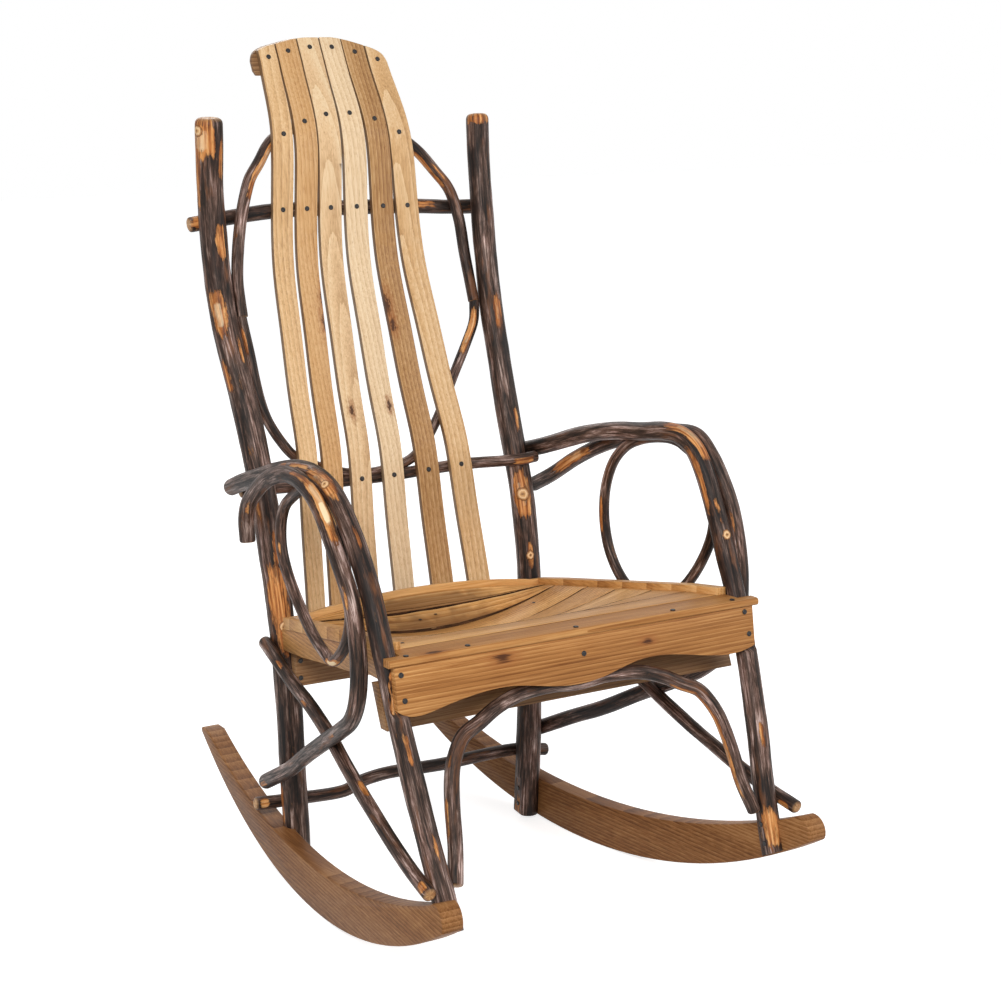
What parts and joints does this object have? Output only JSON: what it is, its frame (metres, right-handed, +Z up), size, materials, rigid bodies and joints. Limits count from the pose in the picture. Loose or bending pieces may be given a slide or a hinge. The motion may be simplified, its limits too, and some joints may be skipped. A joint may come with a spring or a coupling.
{
  "type": "rocking chair",
  "caption": "High-backed rocking chair of bent bark-on hickory sticks with sawn rockers, a slatted back, a dished slat seat, and doubled bent arms with loops.",
  "frame": {"origin": "on the floor, under the middle of the rockers' length, half way between the two sides", "axes": "+Z up, -Y towards the front of the chair, +X towards the right arm as seen from the front"},
  "size_m": [0.6064, 0.876, 1.1487],
  "materials": {
    "bark": "bark left on, satin varnish, with bare patches where it has peeled",
    "sawn_wood": "sawn boards under a satin varnish",
    "rocker_wood": "sawn planks under a satin varnish",
    "screw_steel": "black coated screw heads"
  },
  "bodies": {
    "root": {"rocker_left": "rocker_wood", "rocker_right": "rocker_wood", "rear_post_left": "bark", "rear_post_right": "bark", "front_leg_arm_left": "bark", "front_leg_arm_right": "bark", "outer_arm_left": "bark", "outer_arm_right": "bark", "arm_loop_left": "bark", "arm_loop_right": "bark", "side_brace_left": "bark", "side_brace_right": "bark", "front_hoop": "bark", "upper_back_rail": "bark", "lower_back_rail": "bark", "upper_back_hoop": "bark", "lower_back_hoop": "bark", "rear_stretcher": "bark", "crest_batten": "sawn_wood", "back_slat_1": "sawn_wood", "back_slat_2": "sawn_wood", "back_slat_3": "sawn_wood", "back_slat_4": "sawn_wood", "back_slat_5": "sawn_wood", "back_slat_6": "sawn_wood", "front_apron": "sawn_wood", "seat_nosing": "sawn_wood", "inner_front_rail": "sawn_wood", "side_rail_left": "sawn_wood", "side_rail_right": "sawn_wood", "rear_board": "sawn_wood", "seat_slat_1": "sawn_wood", "seat_slat_2": "sawn_wood", "seat_slat_3": "sawn_wood", "seat_slat_4": "sawn_wood", "seat_slat_5": "sawn_wood", "seat_slat_6": "sawn_wood", "seat_slat_7": "sawn_wood", "seat_edge_left": "sawn_wood", "seat_edge_right": "sawn_wood", "seat_edge_rear": "sawn_wood", "back_slat_screws": "screw_steel", "seat_screws": "screw_steel", "apron_screws": "screw_steel", "rear_board_screws": "screw_steel", "foot_screws": "screw_steel"}
  },
  "joints": []
}
